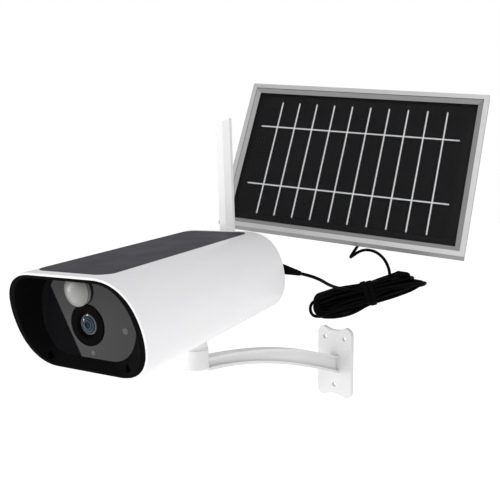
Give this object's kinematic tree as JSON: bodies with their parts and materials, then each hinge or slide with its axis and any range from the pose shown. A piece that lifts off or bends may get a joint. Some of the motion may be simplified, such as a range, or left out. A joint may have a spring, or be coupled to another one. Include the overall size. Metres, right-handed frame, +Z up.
{
  "type": "solar security camera",
  "caption": "White bullet camera with a solar top, hooded lens and motion sensor, on a ball joint wall arm, cabled to a framed solar panel.",
  "frame": {"origin": "centre of the camera bracket's wall plate, on its back face", "axes": "+Y into the wall, +Z up the wall, +X along the wall to the right as seen from in front"},
  "size_m": [0.2095, 0.3384, 0.305],
  "materials": {
    "white_shell": "smooth satin white moulding",
    "white_bracket": "fine-grained off-white moulding",
    "white_antenna": "smooth satin white moulding",
    "black_moulding": "fine-grained black moulding",
    "black_gloss": "polished black face",
    "pir_lens": "milky lens sheet",
    "optical_glass": "coated lens",
    "top_glass": "tinted solar glass",
    "solar_cell": "dark silicon",
    "panel_glass": "clear solar glass over black",
    "silver_line": "printed silver line",
    "anodised_frame": "clear anodised extrusion",
    "back_sheet": "white laminate",
    "black_steel": "black powder coat",
    "white_metal": "white powder coat",
    "steel": "plated steel",
    "zinc_screw": "black zinc",
    "brass_socket": "gilt brass",
    "board": "green laminate",
    "cell_can": "wrapped battery cell",
    "grey_part": "dark grey moulding",
    "led_lens": "dark tinted resin",
    "seal": "soft rubber",
    "cable_skin": "smooth black cable jacket",
    "button_skin": "soft grey rubber"
  },
  "bodies": {
    "wall": {"wall_plate": "white_bracket", "bracket_arm": "white_bracket", "panel_foot": "white_metal", "foot_ears": "white_metal", "swivel_pin": "steel", "cable_hank": "cable_skin", "cable_tie": "cable_skin", "cable_camera_lead": "cable_skin", "cable_panel_lead": "cable_skin"},
    "ring": {"clamp_ring": "white_bracket"},
    "seat": {"ball_seat": "grey_part"},
    "stem": {"ball_stem": "steel"},
    "head": {"mount_foot": "white_bracket", "foot_screws": "steel", "housing_shell": "white_shell", "front_hood": "black_moulding", "hood_screws": "zinc_screw", "faceplate": "black_gloss", "pir_dome": "pir_lens", "pir_sensor": "board", "lens_ring": "black_moulding", "lens_glass": "optical_glass", "lens_barrel": "grey_part", "image_sensor_board": "board", "led_board": "board", "ir_leds": "led_lens", "light_sensor": "led_lens", "battery_tray": "grey_part", "battery_cells": "cell_can", "main_board": "board", "speaker": "grey_part", "rear_cover": "white_shell", "rear_gasket": "seal", "rear_screws": "steel", "power_jack": "black_moulding", "antenna_socket": "brass_socket", "cable_plug": "black_moulding", "top_solar_glass": "top_glass", "top_solar_cells": "solar_cell", "strain_relief": "cable_skin"},
    "antenna_base": {"antenna_knuckle": "white_antenna", "antenna_pin": "steel"},
    "antenna": {"antenna_blade": "white_antenna"},
    "reset": {"reset_button": "button_skin"},
    "power": {"power_button": "button_skin"},
    "fork": {"swivel_fork": "white_metal"},
    "tilt_bolt": {"tilt_pin": "black_steel"},
    "hub": {"turn_hub": "white_metal"},
    "panel": {"frame_bottom": "anodised_frame", "frame_left": "anodised_frame", "frame_top": "anodised_frame", "frame_right": "anodised_frame", "panel_glass": "panel_glass", "panel_grid": "silver_line", "panel_cells": "solar_cell", "panel_back_sheet": "back_sheet", "junction_box": "black_moulding", "junction_lid": "black_moulding", "cable_gland": "black_moulding", "turn_boss": "white_metal"}
  },
  "joints": [
    {"name": "ring_turn", "type": "hinge", "parent": "wall", "child": "ring", "pos_m": [0, -0.2025, 0.0475], "axis": [0, 0, 1], "range_deg": [0, 90]},
    {"name": "ball_swivel", "type": "hinge", "parent": "wall", "child": "seat", "pos_m": [0, -0.2025, 0.0475], "axis": [0, 0, 1], "range_deg": [-25, 25], "deforming": ["cable_camera_lead"]},
    {"name": "ball_tilt", "type": "hinge", "parent": "seat", "child": "stem", "pos_m": [0, -0.2025, 0.0475], "axis": [0.9884, 0.1521, 0], "range_deg": [-12, 18], "deforming": ["cable_camera_lead"]},
    {"name": "head_pan", "type": "hinge", "parent": "stem", "child": "head", "pos_m": [0, -0.2025, 0.0475], "axis": [0.0164, -0.1067, 0.9942], "range_deg": [-40, 40], "deforming": ["cable_camera_lead"]},
    {"name": "antenna_swivel", "type": "hinge", "parent": "head", "child": "antenna_base", "pos_m": [-0.00805, -0.15674, 0.11994], "axis": [-0.1512, 0.9826, 0.108], "range_deg": [-90, 80]},
    {"name": "antenna_fold", "type": "hinge", "parent": "antenna_base", "child": "antenna", "pos_m": [-0.00805, -0.15674, 0.11994], "axis": [-0.9874, -0.1552, 0.0295], "range_deg": [0, 35]},
    {"name": "reset_press", "type": "slide", "parent": "head", "child": "reset", "axis": [0.0164, -0.1067, 0.9942], "range_m": [0, 0.0012], "stiffness_N_per_m": 1200},
    {"name": "power_press", "type": "slide", "parent": "head", "child": "power", "axis": [0.0164, -0.1067, 0.9942], "range_m": [0, 0.0012], "stiffness_N_per_m": 1200},
    {"name": "panel_swivel", "type": "hinge", "parent": "wall", "child": "fork", "pos_m": [0.03707, -0.02779, 0.1832], "axis": [0, 0, 1], "range_deg": [-25, 8], "deforming": ["cable_panel_lead"]},
    {"name": "tilt_bolt_turn", "type": "hinge", "parent": "fork", "child": "tilt_bolt", "pos_m": [0.04323, -0.0447, 0.1832], "axis": [0.9397, 0.342, 0], "range_deg": [0, 180]},
    {"name": "panel_tilt", "type": "hinge", "parent": "fork", "child": "hub", "pos_m": [0.04323, -0.0447, 0.1832], "axis": [-0.9397, -0.342, 0], "range_deg": [-20, 8], "deforming": ["cable_panel_lead"]},
    {"name": "panel_turn", "type": "hinge", "parent": "hub", "child": "panel", "pos_m": [0.0528, -0.071, 0.194], "axis": [-0.3191, 0.8767, -0.36], "range_deg": [-12, 12], "deforming": ["cable_panel_lead"]}
  ]
}
